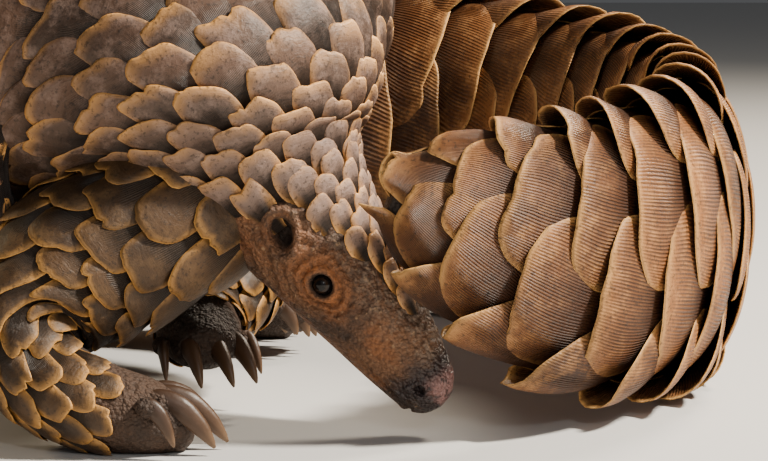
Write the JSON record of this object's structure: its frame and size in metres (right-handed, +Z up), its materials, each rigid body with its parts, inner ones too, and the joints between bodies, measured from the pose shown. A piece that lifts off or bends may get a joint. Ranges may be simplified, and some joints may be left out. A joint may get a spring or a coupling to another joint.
{
  "type": "model pangolin",
  "caption": "Life-size still model of a ground pangolin half unrolled from its ball, head hanging to the floor, tail curled round to the front.",
  "frame": {"origin": "on the floor, under the middle of the whole model's box", "axes": "+Z up; -Y towards the viewer, the side of the head, right forefoot and tail tip; +X to the viewer's right, the side of the tail's bend"},
  "size_m": [0.3764, 0.3966, 0.2057],
  "materials": {
    "body_scale": "dark grey-brown horn with worn orange-yellow rims, satin",
    "tail_scale": "tan horn with fine growth lines and orange edges, satin",
    "skin": "grainy brown skin, matt, wrinkled round the eye and throat",
    "claw": "smooth brown horn",
    "eye": "black, wet gloss"
  },
  "bodies": {
    "root": {"head": "skin", "neck": "body_scale", "torso_front": "body_scale", "torso_middle": "body_scale", "torso_rear": "body_scale", "tail_base": "tail_scale", "tail_middle": "tail_scale", "tail_bend": "tail_scale", "tail_end": "tail_scale", "eye_right": "eye", "eye_left": "eye", "foreleg_right": "body_scale", "forefoot_right": "skin", "forefoot_right_claw_1": "claw", "forefoot_right_claw_2": "claw", "forefoot_right_claw_3": "claw", "forefoot_right_claw_4": "claw", "forefoot_right_claw_5": "claw", "foreleg_left": "body_scale", "forefoot_left": "skin", "forefoot_left_claw_1": "claw", "forefoot_left_claw_2": "claw", "forefoot_left_claw_3": "claw", "forefoot_left_claw_4": "claw", "forefoot_left_claw_5": "claw", "hindleg_right": "body_scale", "hindfoot_right": "skin", "hindfoot_right_claw_1": "claw", "hindfoot_right_claw_2": "claw", "hindfoot_right_claw_3": "claw", "hindfoot_right_claw_4": "claw", "hindfoot_right_claw_5": "claw", "hindleg_left": "body_scale", "hindfoot_left": "skin", "hindfoot_left_claw_1": "claw", "hindfoot_left_claw_2": "claw", "hindfoot_left_claw_3": "claw", "hindfoot_left_claw_4": "claw", "hindfoot_left_claw_5": "claw"}
  },
  "joints": []
}
